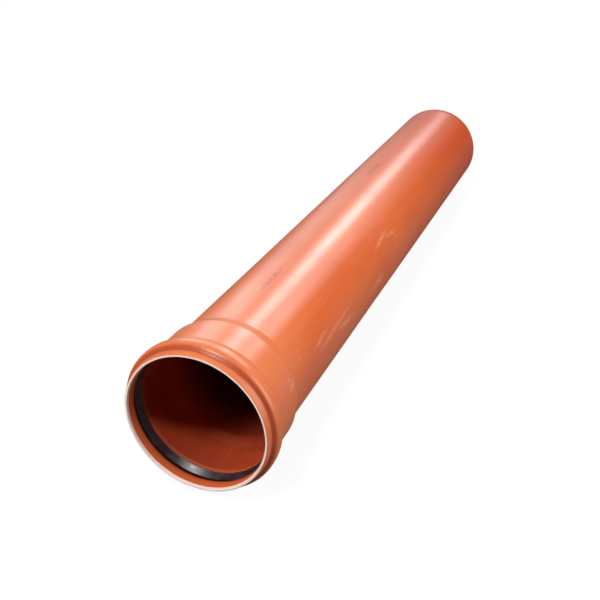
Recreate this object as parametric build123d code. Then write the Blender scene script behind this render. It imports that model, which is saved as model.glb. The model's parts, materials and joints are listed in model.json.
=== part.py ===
from build123d import *
from math import atan2, degrees, radians, tan
import os

# Belled sewer pipe with its rubber sealing ring, lying on a level floor.
# Millimetres, +Z up. The pipe runs along Y: the socket's mouth is at -Y and the
# plain spigot end at +Y. The origin is on the floor, under the middle of the pipe.
# Every outline below is drawn as (radius, station), where the station is the
# distance from the mouth along the pipe's own axis.

# Pipe wall
pipe_d = 160.0
wall = 4.7
laying_length = 1000.0
socket_depth = 81.0

# Spigot end, chamfered so that it enters the next socket
chamfer_length = 9.0
chamfer_angle = 15.0

# Socket barrel and cone, the wall widened to pass over a spigot
spigot_clearance = 0.4
barrel_thinning = 0.2
cone_lead = 2.0
cone_length = 16.0
barrel_end_round = 12.0
cone_end_round = 8.0

# Lip between the mouth's rim and the crease in front of the bead
lip_clearance = 0.9
lip_thinning = 1.1
lip_flare = 1.4
lip_length = 9.0
crease_round = 2.5
lead_in = 1.0
lead_in_length = 2.8
rim_chamfer = 0.7

# Bead, the hollow ring chamber that stands out of the socket
bead_thinning = 0.3
bead_rise = 4.8
bead_crest = 11.2
bead_fall = 12.0
bead_front_round = 8.0
bead_back_round = 15.0
bead_foot_round = 7.0

# Groove inside the bead, set in from the bead's own corners
groove_depth = 6.7
groove_mouth_setback = 4.6
groove_front_setback = 2.2
groove_back_setback = 0.7
groove_foot_setback = 2.5
groove_front_round = 2.0
groove_back_round = 4.0
groove_foot_round = 2.0

# Sealing ring, drawn at the size it takes round a spigot
ring_gap = 0.25
ring_band = 1.6
ring_band_length = 5.65
ring_throat_round = 1.5
ring_heel_setback = 5.1
ring_lip_setback = 6.1

# Angles
quarter_turn = 90.0

# Radii that follow from the sizes above
pipe_r = pipe_d / 2
bore_r = pipe_r - wall
chamfer_end_r = pipe_r - chamfer_length * tan(radians(chamfer_angle))
barrel_bore_r = pipe_r + spigot_clearance
barrel_r = barrel_bore_r + wall - barrel_thinning
lip_bore_r = pipe_r + lip_clearance
lip_r = lip_bore_r + wall - lip_thinning
rim_middle_r = (lip_bore_r + lip_r) / 2
groove_r = barrel_bore_r + groove_depth
bead_r = groove_r + wall - bead_thinning

# Stations that follow from them
overall_length = laying_length + socket_depth
chamfer_station = overall_length - chamfer_length
crease_station = lip_length
bead_front = crease_station + bead_rise
bead_back = bead_front + bead_crest
bead_foot = bead_back + bead_fall
groove_mouth = crease_station + groove_mouth_setback
groove_front = bead_front + groove_front_setback
groove_back = bead_back - groove_back_setback
groove_foot = bead_foot - groove_foot_setback
barrel_end = socket_depth - cone_lead
cone_end = barrel_end + cone_length


def cone_shift(height):
    """How far the inner cone lies behind the outer one, so that the wall keeps its thickness."""
    half_slope = atan2(height, cone_length) / 2
    return wall * tan(half_slope)


inner_cone_start = barrel_end + cone_shift(barrel_r - pipe_r)
inner_cone_end = cone_end + cone_shift(barrel_r - pipe_r)


def revolved(section):
    """Turn a closed section once round the pipe's axis."""
    return revolve(section, axis=Axis.Z)


def make_pipe():
    """One wall from rim to spigot: lip, bead, barrel, cone, pipe and end chamfer."""
    outside = FilletPolyline(
        (rim_middle_r, 0),
        (lip_r - rim_chamfer, 0),
        (lip_r, rim_chamfer),
        (lip_r + lip_flare, crease_station),
        (bead_r, bead_front),
        (bead_r, bead_back),
        (barrel_r, bead_foot),
        (barrel_r, barrel_end),
        (pipe_r, cone_end),
        (pipe_r, chamfer_station),
        radius=(
            0,
            0,
            crease_round,
            bead_front_round,
            bead_back_round,
            bead_foot_round,
            barrel_end_round,
            cone_end_round,
        ),
    )
    inside = FilletPolyline(
        (rim_middle_r, 0),
        (lip_bore_r + lead_in, 0),
        (lip_bore_r, lead_in_length),
        (lip_bore_r, groove_mouth),
        (groove_r, groove_front),
        (groove_r, groove_back),
        (barrel_bore_r, groove_foot),
        (barrel_bore_r, inner_cone_start),
        (bore_r, inner_cone_end),
        (bore_r, overall_length),
        radius=(
            0,
            0,
            0,
            groove_front_round,
            groove_back_round,
            groove_foot_round,
            barrel_end_round,
            cone_end_round,
        ),
    )
    spigot_end = Polyline(
        (pipe_r, chamfer_station),
        (chamfer_end_r, overall_length),
        (bore_r, overall_length),
    )
    section = Plane.XZ * make_face([outside, spigot_end, inside])
    return revolved(section)


def make_sealing_ring():
    """Lip seal held in the groove: a band in front, and a cone running back to the sealing lip."""
    crown_r = groove_r - ring_gap
    front = groove_front + ring_gap
    heel_station = groove_foot - ring_heel_setback
    back_slope = groove_depth / (groove_foot - groove_back)
    heel_r = crown_r - (heel_station - groove_back) * back_slope
    outline = FilletPolyline(
        (crown_r - ring_band, front),
        (crown_r, front + ring_band),
        (crown_r, groove_back),
        (heel_r, heel_station),
        (pipe_r, groove_foot - ring_lip_setback),
        (crown_r - ring_band, front + ring_band_length),
        radius=(0, 0, groove_back_round, 0, 0, ring_throat_round),
        close=True,
    )
    section = Plane.XZ * make_face(outline)
    return revolved(section)


def lay_down(solid):
    """Lie on the floor: the bead carries one end, and the spigot's edge the other."""
    crest_turn = atan2(bead_r - barrel_r, bead_foot - bead_back) / 2
    crest_station = bead_back - bead_back_round * tan(crest_turn)
    rest_angle = degrees(atan2(bead_r - pipe_r, chamfer_station - crest_station))
    return Rotation(-(quarter_turn + rest_angle), 0, 0) * solid


pipe = lay_down(make_pipe())
sealing_ring = lay_down(make_sealing_ring())

box = pipe.bounding_box()
on_floor = Pos(0, -(box.min.Y + box.max.Y) / 2, -box.min.Z)

os.makedirs("parts", exist_ok=True)
for name, solid in (("pipe", pipe), ("sealing_ring", sealing_ring)):
    export_step(on_floor * solid, os.path.join("parts", name + ".step"))
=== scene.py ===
import json
import math

import bpy
from mathutils import Matrix, Vector, noise


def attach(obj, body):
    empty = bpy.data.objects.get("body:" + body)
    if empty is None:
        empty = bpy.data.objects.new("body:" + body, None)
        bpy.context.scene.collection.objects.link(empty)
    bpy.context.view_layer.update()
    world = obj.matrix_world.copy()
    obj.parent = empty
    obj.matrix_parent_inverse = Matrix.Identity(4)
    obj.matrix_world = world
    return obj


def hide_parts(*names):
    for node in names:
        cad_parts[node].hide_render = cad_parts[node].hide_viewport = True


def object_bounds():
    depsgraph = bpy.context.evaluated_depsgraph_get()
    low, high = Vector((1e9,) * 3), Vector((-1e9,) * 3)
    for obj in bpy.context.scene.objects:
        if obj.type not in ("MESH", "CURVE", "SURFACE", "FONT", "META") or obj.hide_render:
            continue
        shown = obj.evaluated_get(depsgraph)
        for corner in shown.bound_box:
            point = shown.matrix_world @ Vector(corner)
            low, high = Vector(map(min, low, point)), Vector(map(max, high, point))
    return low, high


# A belled sewer pipe of orange-brown PVC with its black rubber sealing ring, lying on a pale floor.
# Sizes are in millimetres, turned to metres by MM. Every outline is drawn as (radius, station), where
# the station is the distance from the mouth along the pipe's own axis.

MM = 0.001

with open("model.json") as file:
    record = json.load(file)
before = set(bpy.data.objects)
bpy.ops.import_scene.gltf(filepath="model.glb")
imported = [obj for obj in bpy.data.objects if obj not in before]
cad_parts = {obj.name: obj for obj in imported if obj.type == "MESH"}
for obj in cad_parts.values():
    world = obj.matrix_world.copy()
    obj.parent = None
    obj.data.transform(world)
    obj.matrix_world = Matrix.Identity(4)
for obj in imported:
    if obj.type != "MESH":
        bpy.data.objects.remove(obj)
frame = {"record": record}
cad_low, cad_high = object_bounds()
mounts = {m["name"]: m for m in frame["record"]["mounts"]}

# The pipe's radii, as the frame has them
PIPE_R = mounts["spigot"]["dims"]["r_mm"]
BORE_R = mounts["flow_bore"]["dims"]["r_mm"]
BARREL_BORE_R = mounts["socket"]["dims"]["r_mm"]
BEAD_R = (cad_high.x - cad_low.x) / 2 / MM

# The wall and its stations. CONE_SHIFT is how far the inner cone lies behind the outer one.
PIPE_LENGTH = 1081.0
CHAMFER_LENGTH = 9.0
CHAMFER_DEPTH = 2.41
BARREL_R = 84.9
BARREL_END = 79.0
CONE_END = 95.0
CONE_SHIFT = 0.70
LIP_BORE_R = 80.9
LIP_R = 84.5
LIP_FLARE = 1.4
CREASE = 9.0
RIM_CHAMFER = 0.7
LEAD_IN = 1.0
LEAD_IN_LENGTH = 2.8
BEAD_FRONT = 13.8
BEAD_BACK = 25.0
BEAD_FOOT = 37.0
GROOVE_R = 87.1
GROOVE_MOUTH = 13.6
GROOVE_FRONT = 16.0
GROOVE_BACK = 24.3
GROOVE_FOOT = 34.5

# How round its corners are
CREASE_ROUND = 2.5
BEAD_FRONT_ROUND = 8.0
BEAD_BACK_ROUND = 15.0
BEAD_FOOT_ROUND = 7.0
BARREL_END_ROUND = 12.0
CONE_END_ROUND = 8.0
GROOVE_FRONT_ROUND = 2.0
GROOVE_BACK_ROUND = 4.0
GROOVE_FOOT_ROUND = 2.0

# The sealing ring
RING_GAP = 0.25
RING_BAND = 1.6
RING_BAND_END = 21.9
RING_HEEL = 29.4
RING_LIP = 28.4
RING_THROAT_ROUND = 1.5

# How finely the turned pieces are cut
TURNS = 288
ARC_STEP_DEGREES = 9.0
LONG_STEP = 16.0
SHARP_DEGREES = 24

# How uneven the drawn wall is. OVAL_TURN is where the oval is widest, in radians, and WAVES_ROUND is how
# closely the waves follow one another round the pipe.
OVAL = 0.10
OVAL_TURN = 1.1
WAVE = 0.22
WAVES_ROUND = 1.1
WAVE_LENGTH = 130.0
UNEVEN_FROM = 40.0
UNEVEN_FADE = 90.0
UNEVEN_END = 20.0


def linear(code):
    """An sRGB hex colour as linear red, green, blue and alpha."""
    parts = [int(code[i:i + 2], 16) / 255 for i in (1, 3, 5)]
    return [c / 12.92 if c <= 0.04045 else ((c + 0.055) / 1.055) ** 2.4 for c in parts] + [1.0]


# The pipe's own place: its axis, read from the frame, dips a little towards the spigot end.
along = Vector(mounts["flow_bore"]["axis"]).normalized()
half_bore = mounts["flow_bore"]["dims"]["length_mm"] / 2 * MM
spigot_end = Vector(mounts["flow_bore"]["pos_m"]) + along * half_bore
mouth = spigot_end - along * PIPE_LENGTH * MM
across = Vector((1, 0, 0))
over = across.cross(along)
own_to_row = Matrix.Translation(mouth) @ Matrix((across, along, over)).transposed().to_4x4()


def rounded(corners):
    """An open outline through (radius, station, round) corners, each turned by an arc of that round."""
    points = []
    for i, (r, s, radius) in enumerate(corners):
        here = Vector((r, s))
        if radius == 0:
            points.append(here)
            continue
        back = (Vector(corners[i - 1][:2]) - here).normalized()
        ahead = (Vector(corners[i + 1][:2]) - here).normalized()
        half = back.angle(ahead) / 2
        middle = here + (back + ahead).normalized() * (radius / math.sin(half))
        first = here + back * (radius / math.tan(half)) - middle
        last = here + ahead * (radius / math.tan(half)) - middle
        turn = math.pi - 2 * half
        steps = max(2, math.ceil(math.degrees(turn) / ARC_STEP_DEGREES))
        for k in range(steps + 1):
            share = k / steps
            weight_a = math.sin((1 - share) * turn) / math.sin(turn)
            weight_b = math.sin(share * turn) / math.sin(turn)
            points.append(middle + first * weight_a + last * weight_b)
    return points


def cut_long(points):
    """Put more points on the long straight runs, so that the wall can be slightly uneven there."""
    finer = [points[0]]
    for a, b in zip(points, points[1:]):
        pieces = max(1, round((b - a).length / LONG_STEP))
        finer += [a.lerp(b, (k + 1) / pieces) for k in range(pieces)]
    return finer


def turned(name, outline, uneven):
    """Turn a closed outline once round the pipe's axis. uneven gives what is added to the radius."""
    verts, own = [], []
    for r, s in outline:
        for k in range(TURNS):
            angle = 2 * math.pi * k / TURNS
            real_r = r + uneven(angle, r, s)
            place = Vector((real_r * math.sin(angle), s, real_r * math.cos(angle)))
            own.append(place)
            verts.append(own_to_row @ (place * MM))
    faces = []
    for i in range(len(outline)):
        j = (i + 1) % len(outline)
        for k in range(TURNS):
            m = (k + 1) % TURNS
            faces.append((i * TURNS + k, i * TURNS + m, j * TURNS + m, j * TURNS + k))
    mesh = bpy.data.meshes.new(name)
    mesh.from_pydata(verts, [], faces)
    place_on_pipe = mesh.attributes.new("own_mm", "FLOAT_VECTOR", "POINT")
    place_on_pipe.data.foreach_set("vector", [c for p in own for c in p])
    mesh.shade_smooth()
    mesh.set_sharp_from_angle(angle=math.radians(SHARP_DEGREES))
    piece = bpy.data.objects.new(name, mesh)
    bpy.context.scene.collection.objects.link(piece)
    return piece


def even(angle, r, s):
    """Moulded rubber is even all round."""
    return 0.0


def uneven_wall(angle, r, s):
    """Extruded pipe is never quite round: a slight oval and slow waves, which fade out at both ends."""
    from_ends = min(s - UNEVEN_FROM, PIPE_LENGTH - UNEVEN_END - s)
    calm = min(1, max(0, from_ends / UNEVEN_FADE))
    oval = OVAL * math.cos(2 * angle - OVAL_TURN)
    round_x = math.sin(angle) * WAVES_ROUND
    round_z = math.cos(angle) * WAVES_ROUND
    wave = noise.noise(Vector((round_x, s / WAVE_LENGTH, round_z)))
    return calm * (oval + WAVE * wave)


def add(tree, kind, settings=None, inputs=()):
    """Add one shader node with its settings, and with its inputs by name or number, or as a list from the
    first. An input is a value, a socket to link from, or a node, linked from its first output in use."""
    made = tree.nodes.new("ShaderNode" + kind)
    for key, value in (settings or {}).items():
        setattr(made, key, value)
    named = inputs.items() if isinstance(inputs, dict) else enumerate(inputs)
    for key, value in named:
        if isinstance(value, bpy.types.Node):
            value = next(socket for socket in value.outputs if socket.enabled)
        if isinstance(value, bpy.types.NodeSocket):
            tree.links.new(value, made.inputs[key])
        else:
            made.inputs[key].default_value = value
    return made


def new_material(name):
    """A material with an empty tree."""
    made = bpy.data.materials.new(name)
    made.use_nodes = True
    made.node_tree.nodes.clear()
    return made, made.node_tree


# Settings that several nodes share
TIMES = {"operation": "MULTIPLY"}
TIMES_PLUS = {"operation": "MULTIPLY_ADD"}
MINUS = {"operation": "SUBTRACT"}
LARGER = {"operation": "MAXIMUM"}
SMOOTH = {"interpolation_type": "SMOOTHSTEP"}
OWN_PLACE = {"attribute_name": "own_mm"}

# Finishes. "own_mm" is each point's place in the pipe's own frame: across, along and over, in millimetres.

SKIN_ORANGE = "#E87036"
SKIN_DEEP = "#CD491B"
SKIN_PALE = "#EE9468"
BORE_ORANGE = "#BA4419"
BORE_DEEP = "#86280B"
# Painted shade deep in the bore, behind the socket
BORE_PAINTED_SHADE = "#551606"
RIM_PALE = "#FDE9E2"
RIM_ORANGE = "#F8CDBC"
CHAMFER_PALE = "#F2A27C"
CHAMFER_ORANGE = "#E8814F"
SCUFF_PALE = "#F09C78"
# Pink of rubbed skin, and of the floor's painted reflection on the right flank
RUBBED_AND_REFLECTED_PINK = "#E47462"
INK_GREY = "#8A2E1E"
# Painted shade: the darker, redder colour of the crease between lip and bead
CREASE_PAINTED_SHADE = "#9E2A0A"
# Near-black rubber and its bloom, both tinted red: a painted reflection of the red bore
RUBBER_BLACK_WITH_RED_REFLECTION = "#281319"
RUBBER_BLOOM_WITH_RED_REFLECTION = "#48343A"

PVC_IOR = 1.53
RUBBER_IOR = 1.52

# Real sizes of the patterns on the turned pieces, in mm across, along and over the pipe. The finest draw
# lines are 0.3 mm apart, too fine to show: DRAW_LINES has the width of a group of them. PEEL and SAW_MARKS
# are drawn about twice as coarse as real, for the same cause.
DRAW_LINES = (3.4, 420.0, 3.4)
SKIN_CLOUDS = (75.0, 187.5, 75.0)
BORE_CLOUDS = (75.0, 150.0, 75.0)
PEEL = (1.6, 4.8, 1.6)
SAW_MARKS = (5.4, 0.9, 0.9)
BLOOM = (9.0, 9.0, 9.0)
MOULD_GRAIN = (0.7, 0.7, 0.7)

# Real sizes of the patterns on the rolled-out skin, in mm round and along. It is flat, so the third is idle.
CLOUDY = (13.0, 34.0, 1.0)
TEARS = (1.8, 16.0, 1.0)
HAIRLINES = (1.4, 34.0, 1.0)
DABS = (5.0, 9.0, 1.0)
SPECK_CELL = 7.0
GRAIN_ROUGHNESS = 0.55

# Real depths, in mm. LINES_TO_PEEL is how many times higher the draw lines stand than the peel.
SKIN_RELIEF = 0.006
LINES_TO_PEEL = 1.6
BORE_RELIEF = 0.010
SAW_RELIEF = 0.03
MOULD_RELIEF = 0.015

# How patterns show. Each is a range of the pattern, and where two more numbers follow, the range that it is
# stretched to: how much of a colour shows, or how rough the surface is. Where there are none, it is 0 to 1.
CLOUDS_SHOW = (0.35, 0.75, 0.0, 0.4)
LINES_SHOW = (0.42, 0.72, 0.0, 0.18)
CLOUDY_SHOWS = (0.38, 0.58)
TEARS_SHOW = (0.36, 0.58)
HAIRLINES_SHOW = (0.74, 0.84, 0.0, 0.30)
DABS_SHOW = (0.34, 0.60)
SPECKS_SHOW = (0.26, 0.14)
SKIN_ROUGH = (0.3, 0.7, 0.31, 0.37)
BORE_CLOUDS_SHOW = (0.3, 0.7, 0.0, 0.5)
BORE_LINES_SHOW = (0.5, 0.8, 0.0, 0.15)
BORE_ROUGH = (0.3, 0.7, 0.55, 0.65)
SAW_SHOWS = (0.35, 0.75, 0.0, 0.6)
SAW_ROUGH = (0.3, 0.7, 0.45, 0.6)
BLOOM_SHOWS = (0.4, 0.8, 0.0, 0.5)
RUBBER_ROUGH = (0.3, 0.7, 0.31, 0.39)

# The same by place: a range of stations, and for the crease one of mm away from its middle
# Painted sheen: the socket's colour is made paler in place of its broad highlight
SOCKET_PAINTED_SHEEN = (190.0, 50.0, 0.0, 0.34)
# Painted shade: the colour is made deeper towards the spigot end, where the light falls off
SPIGOT_PAINTED_SHADE = (420.0, 1060.0, 0.0, 0.75)
CREASE_MIDDLE = CREASE + 1.2
# Painted shade: the crease is made darker and redder, as its hollow is shaded
CREASE_SHADE_SHOWS = (4.0, 0.8, 0.0, 0.72)
LIP_PALER = (17.0, 8.0, 0.0, 0.65)
# Where the bore's painted shade starts, and where it fades out towards the spigot end
SHADE_STARTS = (95.0, 150.0)
SHADE_ENDS = (1080.0, 780.0, 0.1, 0.85)

# How strongly the marks show, and how much rougher worn skin is
RUBBED_AND_REFLECTED_SHARE = 0.5
SCUFF_SHARE = 0.85
INK_SHARE = 0.55
CHIP_SHARE = 0.8
WORN_ROUGHER = 0.1

# Pale scuffs, as (degrees from the top, station, half length, half width, lean in degrees)
SCUFFS = [
    (77, 226, 84, 6, 4),
    (84, 262, 44, 7, -5),
    (71, 182, 32, 5, 8),
    (56, 452, 42, 5, 6),
    (60, 492, 30, 5, -8),
    (88, 398, 46, 7, 2),
    (74, 76, 15, 6, 14),
    (-118, 560, 60, 8, 3),
    (138, 840, 48, 9, -4),
]
# Rubbed patches, cloudy and faint, in the same form. Those along the right flank are also a painted
# reflection:
# the pinkish gleam of the floor seen at a grazing angle in the skin there.
RUBBED_AND_REFLECTED = [
    (80, 215, 170, 22, 2),
    (96, 290, 300, 20, 0),
    (70, 60, 45, 24, 0),
    (84, 560, 150, 18, 0),
    (40, 470, 90, 20, 12),
    (-70, 330, 150, 26, -3),
    (160, 520, 260, 60, 0),
]
# Worn ink, as soft broken dabs in a row, in the same form
INK_RUNS = [
    (1, 210, 76, 6, 1),
    (-6, 640, 26, 8, -1),
    (-6, 672, 22, 7, -1),
]
# Dust and chips, in the same form
SPECKLED = [
    (68, 76, 16, 14, 0),
    (62, 120, 30, 12, 0),
    (-90, 700, 90, 30, 0),
]
# Each patch is full in its middle and fades out at its edge, by the share of the way out
PATCH_FADES = (1.0, 0.1)


def grain(tree, place, size, detail):
    """Noise whose lumps have the given real size along each of the three axes of place, in mm."""
    return add(tree, "TexNoise", {}, {
        "Vector": add(tree, "VectorMath", {"operation": "DIVIDE"}, [place, size]),
        "Scale": 1.0,
        "Detail": detail,
        "Roughness": GRAIN_ROUGHNESS,
    })


def rolled_out(tree, own):
    """The skin rolled out flat: millimetres round from the top, and the station."""
    parts = add(tree, "SeparateXYZ", {}, [own]).outputs
    angle = add(tree, "Math", {"operation": "ARCTAN2"}, [parts["X"], parts["Z"]])
    around = add(tree, "Math", TIMES, [angle, PIPE_R])
    return add(tree, "CombineXYZ", {}, [around, parts["Y"]])


def patches(tree, flat, spots, broken):
    """How much of a mark shows: full in the middle of each spot, 0 at its edge, broken up by a pattern."""
    total = 0.0
    for degrees, station, half_length, half_width, lean in spots:
        here = add(tree, "Mapping", {"vector_type": "TEXTURE"}, {
            "Vector": flat,
            "Location": (math.radians(degrees) * PIPE_R, station, 0),
            "Rotation": (0, 0, math.radians(lean)),
            "Scale": (half_width, half_length, 1),
        })
        away = add(tree, "VectorMath", {"operation": "LENGTH"}, [here])
        near = add(tree, "MapRange", SMOOTH, [away, *PATCH_FADES])
        total = add(tree, "Math", LARGER, [total, near])
    return add(tree, "Math", TIMES, [total, broken])


def coated(tree, ground, coats):
    """The ground colour with each coat laid over those before it, by how much of it shows."""
    colour = linear(ground)
    for shows, coat in coats:
        colour = add(tree, "Mix", {"data_type": "RGBA"}, {0: shows, 6: colour, 7: linear(coat)})
    return colour


def drawn_pvc_skin():
    """Unplasticised PVC, drawn through a sizing sleeve: semi-gloss, with faint lines along the pipe."""
    made, tree = new_material("drawn_pvc_skin")
    own = add(tree, "Attribute", OWN_PLACE).outputs["Vector"]
    flat = rolled_out(tree, own)
    lines = grain(tree, own, DRAW_LINES, 4.0)
    clouds = grain(tree, own, SKIN_CLOUDS, 3.0)
    station = add(tree, "SeparateXYZ", {}, [own]).outputs["Y"]
    past_crease = add(tree, "Math", MINUS, [station, CREASE_MIDDLE])
    off_crease = add(tree, "Math", {"operation": "ABSOLUTE"}, [past_crease])

    # Handling leaves rubbed patches, pale scuffs that run mostly along the pipe, chips and worn ink. The
    # rubbed patches on the right flank also carry a painted reflection: the pinkish gleam of the floor at a
    # grazing angle.
    cloudy = add(tree, "MapRange", SMOOTH, [grain(tree, flat, CLOUDY, 4.0), *CLOUDY_SHOWS])
    rubbed_and_reflected = patches(tree, flat, RUBBED_AND_REFLECTED, cloudy)
    torn = add(tree, "MapRange", SMOOTH, [grain(tree, flat, TEARS, 4.0), *TEARS_SHOW])
    scuffs = patches(tree, flat, SCUFFS, torn)
    hairs = add(tree, "MapRange", SMOOTH, [grain(tree, flat, HAIRLINES, 1.0), *HAIRLINES_SHOW])
    dabs = add(tree, "MapRange", SMOOTH, [grain(tree, flat, DABS, 3.0), *DABS_SHOW])
    ink = patches(tree, flat, INK_RUNS, dabs)
    cells = add(tree, "TexVoronoi", {}, {"Vector": flat, "Scale": 1 / SPECK_CELL})
    specks = add(tree, "MapRange", SMOOTH, [cells, *SPECKS_SHOW])
    chips = patches(tree, flat, SPECKLED, specks)

    # The socket is painted paler, a painted sheen in place of its broad highlight, and the colour is painted
    # deeper towards the spigot end, a painted shade where the light falls off along the pipe. The crease
    # between lip and bead is painted darker and redder, a painted shade in its hollow.
    colour = coated(tree, SKIN_ORANGE, [
        (add(tree, "MapRange", SMOOTH, [clouds, *CLOUDS_SHOW]), SKIN_DEEP),
        (add(tree, "MapRange", SMOOTH, [lines, *LINES_SHOW]), SKIN_PALE),
        (add(tree, "MapRange", SMOOTH, [station, *SOCKET_PAINTED_SHEEN]), SKIN_PALE),
        (add(tree, "MapRange", SMOOTH, [station, *SPIGOT_PAINTED_SHADE]), SKIN_DEEP),
        (add(tree, "MapRange", SMOOTH, [off_crease, *CREASE_SHADE_SHOWS]), CREASE_PAINTED_SHADE),
        (add(tree, "Math", TIMES, [rubbed_and_reflected, RUBBED_AND_REFLECTED_SHARE]), RUBBED_AND_REFLECTED_PINK),
        (add(tree, "Math", TIMES, [scuffs, SCUFF_SHARE]), SCUFF_PALE),
        (hairs, SCUFF_PALE),
        (add(tree, "Math", TIMES, [ink, INK_SHARE]), INK_GREY),
        (add(tree, "Math", TIMES, [chips, CHIP_SHARE]), SCUFF_PALE),
    ])

    worn = add(tree, "Math", LARGER, [scuffs, hairs])
    smooth = add(tree, "MapRange", SMOOTH, [clouds, *SKIN_ROUGH])
    peel = grain(tree, own, PEEL, 1.0)
    height = add(tree, "Math", TIMES_PLUS, [lines, LINES_TO_PEEL, peel])
    skin = add(tree, "BsdfPrincipled", {}, {
        "Base Color": colour,
        "Roughness": add(tree, "Math", TIMES_PLUS, [worn, WORN_ROUGHER, smooth]),
        "IOR": PVC_IOR,
        "Normal": add(tree, "Bump", {}, {"Height": height, "Distance": SKIN_RELIEF * MM}),
    })
    add(tree, "OutputMaterial", {}, {"Surface": skin})
    return made


def drawn_pvc_bore():
    """The bore's skin, which cooled without a sleeve: satin, darker, redder and more even than outside."""
    made, tree = new_material("drawn_pvc_bore")
    own = add(tree, "Attribute", OWN_PLACE).outputs["Vector"]
    lines = grain(tree, own, DRAW_LINES, 4.0)
    clouds = grain(tree, own, BORE_CLOUDS, 2.0)

    # The lip was stretched most and is paler. Behind the socket the bore is painted darker, a painted shade
    # deep inside where little light comes in, which fades out again towards the open spigot end.
    station = add(tree, "SeparateXYZ", {}, [own]).outputs["Y"]
    shade_starts = add(tree, "MapRange", SMOOTH, [station, *SHADE_STARTS])
    shade_ends = add(tree, "MapRange", SMOOTH, [station, *SHADE_ENDS])
    colour = coated(tree, BORE_ORANGE, [
        (add(tree, "MapRange", SMOOTH, [clouds, *BORE_CLOUDS_SHOW]), BORE_DEEP),
        (add(tree, "MapRange", SMOOTH, [lines, *BORE_LINES_SHOW]), SKIN_ORANGE),
        (add(tree, "MapRange", SMOOTH, [station, *LIP_PALER]), SKIN_ORANGE),
        (add(tree, "Math", TIMES, [shade_starts, shade_ends]), BORE_PAINTED_SHADE),
    ])
    skin = add(tree, "BsdfPrincipled", {}, {
        "Base Color": colour,
        "Roughness": add(tree, "MapRange", SMOOTH, [lines, *BORE_ROUGH]),
        "IOR": PVC_IOR,
        "Normal": add(tree, "Bump", {}, {"Height": lines, "Distance": BORE_RELIEF * MM}),
    })
    add(tree, "OutputMaterial", {}, {"Surface": skin})
    return made


def cut_pvc(name, pale, orange):
    """PVC that a saw or a chamfering tool has cut: paler, more matt, with fine marks straight across."""
    made, tree = new_material(name)
    own = add(tree, "Attribute", OWN_PLACE).outputs["Vector"]
    marks = grain(tree, own, SAW_MARKS, 2.0)
    cut = add(tree, "BsdfPrincipled", {}, {
        "Base Color": coated(tree, pale, [(add(tree, "MapRange", SMOOTH, [marks, *SAW_SHOWS]), orange)]),
        "Roughness": add(tree, "MapRange", SMOOTH, [marks, *SAW_ROUGH]),
        "IOR": PVC_IOR,
        "Normal": add(tree, "Bump", {}, {"Height": marks, "Distance": SAW_RELIEF * MM}),
    })
    add(tree, "OutputMaterial", {}, {"Surface": cut})
    return made


def moulded_rubber():
    """Moulded EPDM: near black and satin, with a thin grey bloom and a fine grain from its mould. Its black
    and its bloom are tinted red, a painted reflection of the red bore round it.
    """
    made, tree = new_material("moulded_rubber")
    own = add(tree, "Attribute", OWN_PLACE).outputs["Vector"]
    bloom = grain(tree, own, BLOOM, 3.0)
    hazy = add(tree, "MapRange", SMOOTH, [bloom, *BLOOM_SHOWS])
    fine = grain(tree, own, MOULD_GRAIN, 1.0)
    rubber = add(tree, "BsdfPrincipled", {}, {
        "Base Color": coated(tree, RUBBER_BLACK_WITH_RED_REFLECTION, [(hazy, RUBBER_BLOOM_WITH_RED_REFLECTION)]),
        "Roughness": add(tree, "MapRange", SMOOTH, [bloom, *RUBBER_ROUGH]),
        "IOR": RUBBER_IOR,
        "Normal": add(tree, "Bump", {}, {"Height": fine, "Distance": MOULD_RELIEF * MM}),
    })
    add(tree, "OutputMaterial", {}, {"Surface": rubber})
    return made


# The pipe's finishes, by their place in its list
SKIN, BORE, RIM, CHAMFER = 0, 1, 2, 3


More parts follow.
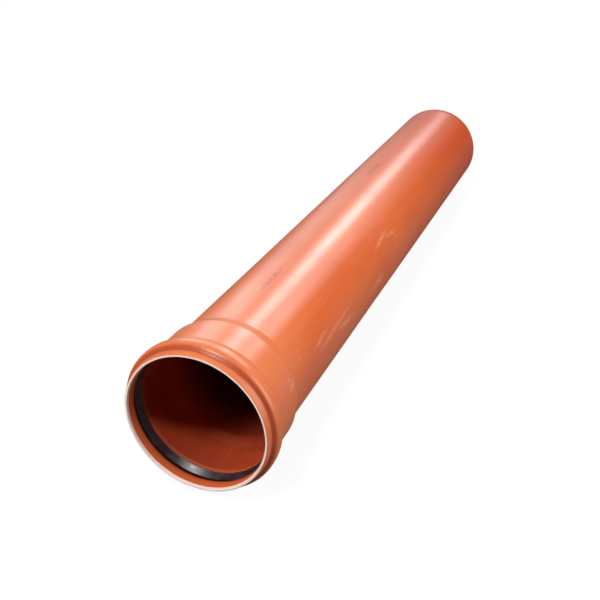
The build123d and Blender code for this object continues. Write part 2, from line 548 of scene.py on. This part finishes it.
def make_pipe():
    """One wall, turned from rim to spigot, with a finish for each stretch of its outline."""
    rim_middle = (LIP_BORE_R + LIP_R) / 2
    rim_edge = (LIP_R - RIM_CHAMFER, 0, 0)
    rim_inside = (LIP_BORE_R, LEAD_IN_LENGTH, 0)
    chamfer_start = (PIPE_R, PIPE_LENGTH - CHAMFER_LENGTH, 0)
    bore_end = (BORE_R, PIPE_LENGTH, 0)
    stretches = [
        (RIM, [(rim_middle, 0, 0), rim_edge]),
        (SKIN, [
            rim_edge,
            (LIP_R, RIM_CHAMFER, 0),
            (LIP_R + LIP_FLARE, CREASE, CREASE_ROUND),
            (BEAD_R, BEAD_FRONT, BEAD_FRONT_ROUND),
            (BEAD_R, BEAD_BACK, BEAD_BACK_ROUND),
            (BARREL_R, BEAD_FOOT, BEAD_FOOT_ROUND),
            (BARREL_R, BARREL_END, BARREL_END_ROUND),
            (PIPE_R, CONE_END, CONE_END_ROUND),
            chamfer_start,
        ]),
        (CHAMFER, [chamfer_start, (PIPE_R - CHAMFER_DEPTH, PIPE_LENGTH, 0), bore_end]),
        (BORE, [
            bore_end,
            (BORE_R, CONE_END + CONE_SHIFT, CONE_END_ROUND),
            (BARREL_BORE_R, BARREL_END + CONE_SHIFT, BARREL_END_ROUND),
            (BARREL_BORE_R, GROOVE_FOOT, GROOVE_FOOT_ROUND),
            (GROOVE_R, GROOVE_BACK, GROOVE_BACK_ROUND),
            (GROOVE_R, GROOVE_FRONT, GROOVE_FRONT_ROUND),
            (LIP_BORE_R, GROOVE_MOUTH, 0),
            rim_inside,
        ]),
        (RIM, [rim_inside, (LIP_BORE_R + LEAD_IN, 0, 0), (rim_middle, 0, 0)]),
    ]
    outline, finishes = [], []
    for finish, corners in stretches:
        points = cut_long(rounded(corners))[:-1]
        outline += points
        finishes += [finish] * len(points)
    wall = turned("pvc_wall", outline, uneven_wall)
    for material in (
        drawn_pvc_skin(),
        drawn_pvc_bore(),
        cut_pvc("sawn_pvc_rim", RIM_PALE, RIM_ORANGE),
        cut_pvc("chamfered_pvc", CHAMFER_PALE, CHAMFER_ORANGE),
    ):
        wall.data.materials.append(material)
    wall.data.polygons.foreach_set("material_index", [f for f in finishes for k in range(TURNS)])
    return wall


def make_seal():
    """The lip seal: a band in front, and a cone that runs back to the sealing lip."""
    front = GROOVE_FRONT + RING_GAP
    crown = GROOVE_R - RING_GAP
    slope = (GROOVE_R - BARREL_BORE_R) / (GROOVE_FOOT - GROOVE_BACK)
    heel_r = crown - (RING_HEEL - GROOVE_BACK) * slope
    outline = rounded([
        (crown - RING_BAND, front, 0),
        (crown, front + RING_BAND, 0),
        (crown, GROOVE_BACK, GROOVE_BACK_ROUND),
        (heel_r, RING_HEEL, 0),
        (PIPE_R, RING_LIP, 0),
        (crown - RING_BAND, RING_BAND_END, RING_THROAT_ROUND),
        (crown - RING_BAND, front, 0),
    ])[:-1]
    seal = turned("rubber_seal", outline, even)
    seal.data.materials.append(moulded_rubber())
    return seal


# Camera: where the photograph was taken from, worked out from the rim, the sides and the far end. It looks
# along the pipe, turned left and down from the pipe's own axis. The mouth's middle is seen at MOUTH_PIXEL,
# MOUTH_DEPTH before the camera, measured along its line of sight.
IMAGE_PIXELS = 600
SENSOR = 36.0
LENS_PIXELS = 863.67
NEAREST_SEEN = 0.05
FARTHEST_SEEN = 50
LOOK_LEFT_DEGREES = 21.52
LOOK_DOWN_DEGREES = 26.77
MOUTH_PIXEL = (193.96, 425.5)
MOUTH_DEPTH = 909.1


def make_camera():
    """Stand the camera so that the mouth is seen where the photograph shows it."""
    turn = math.radians(LOOK_LEFT_DEGREES)
    drop = math.radians(LOOK_DOWN_DEGREES)
    forward = Vector((-math.sin(turn) * math.cos(drop), math.cos(turn) * math.cos(drop), -math.sin(drop)))
    right = Vector((math.cos(turn), math.sin(turn), 0))
    up = right.cross(forward)
    middle = IMAGE_PIXELS / 2
    mouth_seen = (
        right * ((MOUTH_PIXEL[0] - middle) / LENS_PIXELS)
        - up * ((MOUTH_PIXEL[1] - middle) / LENS_PIXELS)
        + forward
    )
    stand = own_to_row @ Matrix.Translation(-mouth_seen * MOUTH_DEPTH * MM)
    data = bpy.data.cameras.new("camera")
    data.sensor_width = SENSOR
    data.lens = LENS_PIXELS / IMAGE_PIXELS * SENSOR
    data.clip_start = NEAREST_SEEN
    data.clip_end = FARTHEST_SEEN
    camera = bpy.data.objects.new("camera", data)
    camera.matrix_world = stand @ Matrix((right, up, -forward)).transposed().to_4x4()
    bpy.context.scene.collection.objects.link(camera)
    bpy.context.scene.camera = camera


# Studio: a white surround and floor, strips of soft light behind the pipe and three soft lamps round it, set
# where the photograph's highlights and the shadow edge inside its mouth put them.
FLOOR_HALF = 8.0
FLOOR_GREY = "#525252"
WHITE = "#FFFFFF"
FLOOR_GLOW = 0.93
GLOW_IN_SHINE = 0.08

# Soft boxes behind the pipe, whose long reflections make its streaks: (degrees over from upright, lowest and
# highest degrees above the pipe's line, width in metres, watts per metre of length)
STRIPS = [
    (-2, 26, 37, 0.75, 41),
    (-3, 37, 44, 0.9, 58),
    (27, 37, 45, 0.8, 48),
    (-45, 37, 47, 2.4, 36),
    (-60, 31, 43, 4.4, 13),
    (-44, 18, 30, 3.6, 10),
]
STRIP_AWAY = 5.0

# Soft lamps round it, the key, a weak one before the mouth and a broad one on the right:
# (degrees round from the mouth's side, degrees up, metres away, size in metres, watts)
SOFTS = [
    (-4, 55, 3.4, 0.5, 59),
    (-25, 12, 1.7, 0.35, 9),
    (88, 20, 2.6, 2.0, 46),
]
WORLD_LEVEL = 0.04
# What the camera sees beyond the floor is as bright as its far edge, so that no line shows between them.
WORLD_SEEN = 0.94


def seen_white(tree):
    """1 where the camera sees the white of the studio. Shiny things see it too, but weaker, so that the
    pipe's own shadow still shows in its skin."""
    rays = add(tree, "LightPath").outputs
    shine = add(tree, "Math", LARGER, [rays["Is Glossy Ray"], rays["Is Transmission Ray"]])
    weak = add(tree, "Math", TIMES, [shine, GLOW_IN_SHINE])
    return add(tree, "Math", LARGER, [rays["Is Camera Ray"], weak])


def make_floor():
    """A matt floor that takes the pipe's shadow, and looks white to the camera."""
    made, tree = new_material("pale_floor")
    matt = add(tree, "BsdfDiffuse", {}, {"Color": linear(FLOOR_GREY)})
    level = add(tree, "Math", TIMES, [seen_white(tree), FLOOR_GLOW])
    glow = add(tree, "Emission", {}, {"Color": linear(WHITE), "Strength": level})
    both = add(tree, "AddShader", {}, [matt, glow])
    add(tree, "OutputMaterial", {}, {"Surface": both})
    mesh = bpy.data.meshes.new("floor")
    signs = [(-1, -1), (1, -1), (1, 1), (-1, 1)]
    corners = [(x * FLOOR_HALF, y * FLOOR_HALF, 0) for x, y in signs]
    mesh.from_pydata(corners, [], [(0, 1, 2, 3)])
    floor = bpy.data.objects.new("floor", mesh)
    floor.data.materials.append(made)
    bpy.context.scene.collection.objects.link(floor)


def soft_lamp(name, place, ahead, up, width, length, watts):
    """An area lamp at place that shines along ahead; up is the way its length lies."""
    data = bpy.data.lights.new(name, "AREA")
    data.shape = "RECTANGLE"
    data.size = width
    data.size_y = length
    data.energy = watts
    lamp = bpy.data.objects.new(name, data)
    back = -ahead.normalized()
    high = (up - back * up.dot(back)).normalized()
    turn = Matrix((high.cross(back), high, back)).transposed().to_4x4()
    lamp.matrix_world = Matrix.Translation(place) @ turn
    bpy.context.scene.collection.objects.link(lamp)


def make_light():
    """The world, the strips behind the pipe and the soft lamps round it."""
    world = bpy.data.worlds.new("studio")
    bpy.context.scene.world = world
    world.use_nodes = True
    tree = world.node_tree
    tree.nodes.clear()
    level = add(tree, "MapRange", SMOOTH, [seen_white(tree), 0.0, 1.0, WORLD_LEVEL, WORLD_SEEN])
    white = add(tree, "Background", {}, {"Color": linear(WHITE), "Strength": level})
    add(tree, "OutputWorld", {}, {"Surface": white})
    middle = Vector((0, 0, PIPE_R * MM))
    for over_degrees, low, high, width, watts in STRIPS:
        over_turn = math.radians(over_degrees)
        up_turn = math.radians((low + high) / 2)
        out = Vector((math.sin(over_turn), 0, math.cos(over_turn)))
        away = out * math.sin(up_turn) + Vector((0, 1, 0)) * math.cos(up_turn)
        length = STRIP_AWAY * math.radians(high - low)
        soft_lamp("strip", middle + away * STRIP_AWAY, -away, out, width, length, watts * length)
    for round_degrees, up_degrees, distance, size, watts in SOFTS:
        turn = math.radians(round_degrees)
        lift = math.radians(up_degrees)
        level_part = Vector((math.sin(turn), -math.cos(turn), 0)) * math.cos(lift)
        away = level_part + Vector((0, 0, math.sin(lift)))
        soft_lamp("soft", middle + away * distance, -away, Vector((0, 0, 1)), size, size, watts)


pipe = make_pipe()
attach(pipe, "root")
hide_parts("pipe")

seal = make_seal()
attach(seal, "root")
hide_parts("sealing_ring")

make_floor()
make_light()
make_camera()
bpy.context.scene.view_settings.view_transform = "Standard"
